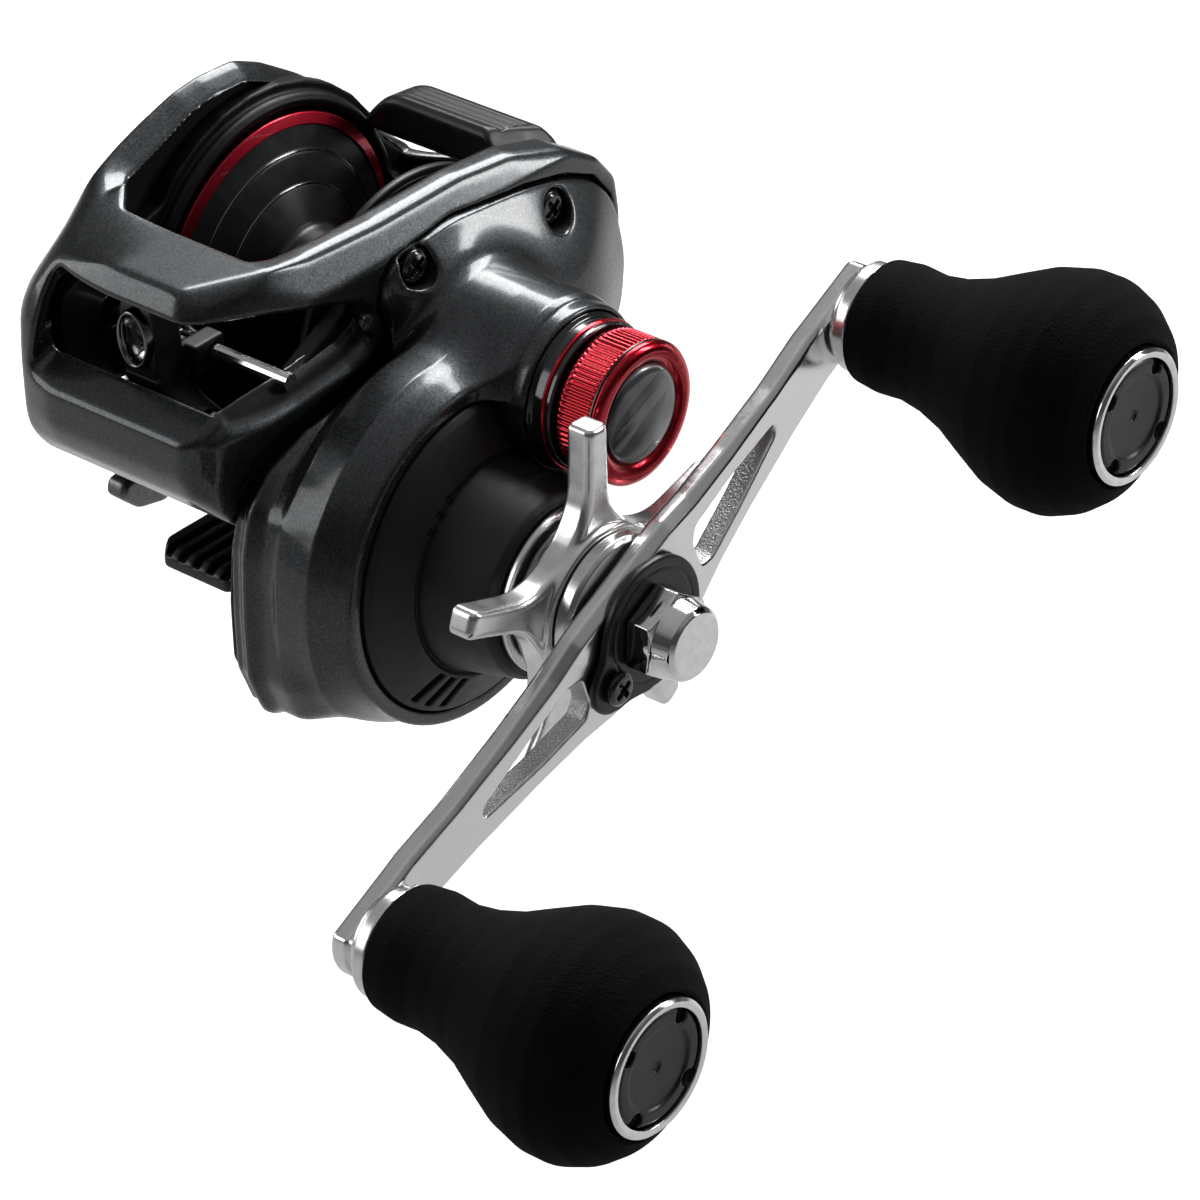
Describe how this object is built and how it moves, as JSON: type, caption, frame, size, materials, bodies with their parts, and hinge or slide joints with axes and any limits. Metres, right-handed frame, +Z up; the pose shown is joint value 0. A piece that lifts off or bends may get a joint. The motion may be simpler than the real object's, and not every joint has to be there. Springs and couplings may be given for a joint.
{
  "type": "baitcasting reel",
  "caption": "Low-profile baitcasting fishing reel with a double foam-knob handle, star drag, red spool tension knob, hooded front line guide, thumb bar and rod foot.",
  "frame": {"origin": "centre of the reel foot's seat, under the spool axis and the middle of the foot", "axes": "+X along the spool towards the handle, +Y towards the thumb bar and the angler, +Z up from the rod; the line leaves towards -Y"},
  "size_m": [0.1208, 0.1159, 0.0794],
  "materials": {
    "body_paint": "dark gunmetal metallic paint on aluminium, under clear coat",
    "matte_black": "matte black",
    "gloss_black": "gloss black",
    "polished_aluminium": "polished, lightly satin",
    "chrome": "mirror chrome",
    "red_anodised": "red anodised, polished bezel",
    "grip_foam": "closed-cell foam, matte with a fine grain",
    "steel": "turned steel",
    "brass": "machined brass",
    "drag_carbon": "woven carbon friction washer"
  },
  "bodies": {
    "reel_body": {"frame": "body_paint", "front_hood": "body_paint", "reel_foot": "matte_black", "foot_screw_front": "steel", "foot_screw_rear": "steel", "handle_side_plate": "body_paint", "gear_cover": "matte_black", "side_screw_front": "gloss_black", "side_screw_rear": "gloss_black", "tension_boss": "gloss_black", "gear_side_spool_bearing": "steel", "pinion_bearing": "steel", "guide_rod": "polished_aluminium", "drive_shaft_bearing": "steel", "one_way_clutch": "steel"},
    "palm_cover": {"palm_side_plate": "body_paint", "brake_housing": "matte_black", "palm_side_spool_bearing": "steel"},
    "brake_dial": {"brake_dial": "matte_black"},
    "release_lever": {"release_lever": "body_paint"},
    "spool": {"spool": "matte_black", "spool_shaft": "steel", "brake_rotor": "steel"},
    "pinion": {"pinion_gear": "brass"},
    "clutch_yoke": {"clutch_yoke": "steel"},
    "thumb_bar": {"thumb_bar": "gloss_black", "clutch_plate": "steel"},
    "worm": {"worm_shaft": "steel", "worm_gear": "matte_black"},
    "line_guide": {"line_guide": "gloss_black", "guide_ring": "chrome"},
    "handle": {"drive_shaft": "steel", "drive_gear": "brass", "level_wind_gear": "matte_black", "drag_washer": "drag_carbon", "pressure_plate": "steel", "one_way_sleeve": "steel", "drag_plate": "polished_aluminium", "handle_arm": "polished_aluminium", "nut_retainer": "matte_black", "retainer_screw": "gloss_black", "handle_nut": "chrome", "knob_post_upper": "steel", "knob_post_lower": "steel"},
    "star_drag": {"star_drag": "polished_aluminium"},
    "tension_knob": {"tension_knob": "red_anodised", "tension_badge": "gloss_black"},
    "knob_upper": {"knob_collar_upper": "polished_aluminium", "grip_upper": "grip_foam", "knob_bearing_upper": "steel", "cap_ring_upper": "polished_aluminium", "knob_cap_upper": "matte_black"},
    "knob_lower": {"knob_collar_lower": "polished_aluminium", "grip_lower": "grip_foam", "knob_bearing_lower": "steel", "cap_ring_lower": "polished_aluminium", "knob_cap_lower": "matte_black"}
  },
  "joints": [
    {"name": "handle_spin", "type": "hinge", "parent": "reel_body", "child": "handle", "pos_m": [0, -0.01365, 0.0075], "axis": [1, 0, 0], "continuous": true},
    {"name": "spool_spin", "type": "hinge", "parent": "reel_body", "child": "spool", "pos_m": [0, 0, 0.025], "axis": [1, 0, 0], "continuous": true},
    {"name": "clutch_shift", "type": "slide", "parent": "reel_body", "child": "clutch_yoke", "axis": [1, 0, 0], "range_m": [0, 0.0016]},
    {"name": "pinion_spin", "type": "hinge", "parent": "clutch_yoke", "child": "pinion", "pos_m": [0, 0, 0.025], "axis": [1, 0, 0], "continuous": true},
    {"name": "thumb_bar_press", "type": "slide", "parent": "reel_body", "child": "thumb_bar", "axis": [0, 0.67, -0.7424], "range_m": [0, 0.004]},
    {"name": "worm_spin", "type": "hinge", "parent": "reel_body", "child": "worm", "pos_m": [0, -0.027, 0.0205], "axis": [1, 0, 0], "continuous": true},
    {"name": "line_guide_travel", "type": "slide", "parent": "reel_body", "child": "line_guide", "axis": [1, 0, 0], "range_m": [-0.0075, 0.008]},
    {"name": "star_drag_turn", "type": "hinge", "parent": "handle", "child": "star_drag", "pos_m": [0, -0.01365, 0.0075], "axis": [1, 0, 0], "range_deg": [-360, 360]},
    {"name": "tension_knob_turn", "type": "hinge", "parent": "reel_body", "child": "tension_knob", "pos_m": [0, 0, 0.025], "axis": [1, 0, 0], "range_deg": [-360, 360]},
    {"name": "knob_upper_spin", "type": "hinge", "parent": "handle", "child": "knob_upper", "pos_m": [0, 0.02978, 0.02794], "axis": [1, 0, 0], "continuous": true},
    {"name": "knob_lower_spin", "type": "hinge", "parent": "handle", "child": "knob_lower", "pos_m": [0, -0.05708, -0.01294], "axis": [1, 0, 0], "continuous": true},
    {"name": "palm_cover_off", "type": "slide", "parent": "reel_body", "child": "palm_cover", "axis": [-1, 0, 0], "range_m": [0, 0.02]},
    {"name": "brake_dial_turn", "type": "hinge", "parent": "palm_cover", "child": "brake_dial", "pos_m": [0, 0, 0.025], "axis": [1, 0, 0], "range_deg": [0, 270]},
    {"name": "release_lever_turn", "type": "hinge", "parent": "palm_cover", "child": "release_lever", "pos_m": [0, -0.0155, 0.0021], "axis": [1, 0, 0], "range_deg": [0, 75]}
  ],
  "couplings": [
    {"joint": "spool_spin", "follows": "handle_spin", "ratio": -7.8},
    {"joint": "pinion_spin", "follows": "handle_spin", "ratio": -7.8},
    {"joint": "worm_spin", "follows": "handle_spin", "ratio": -2.3636},
    {"joint": "clutch_shift", "follows": "thumb_bar_press", "ratio": 0.4}
  ]
}
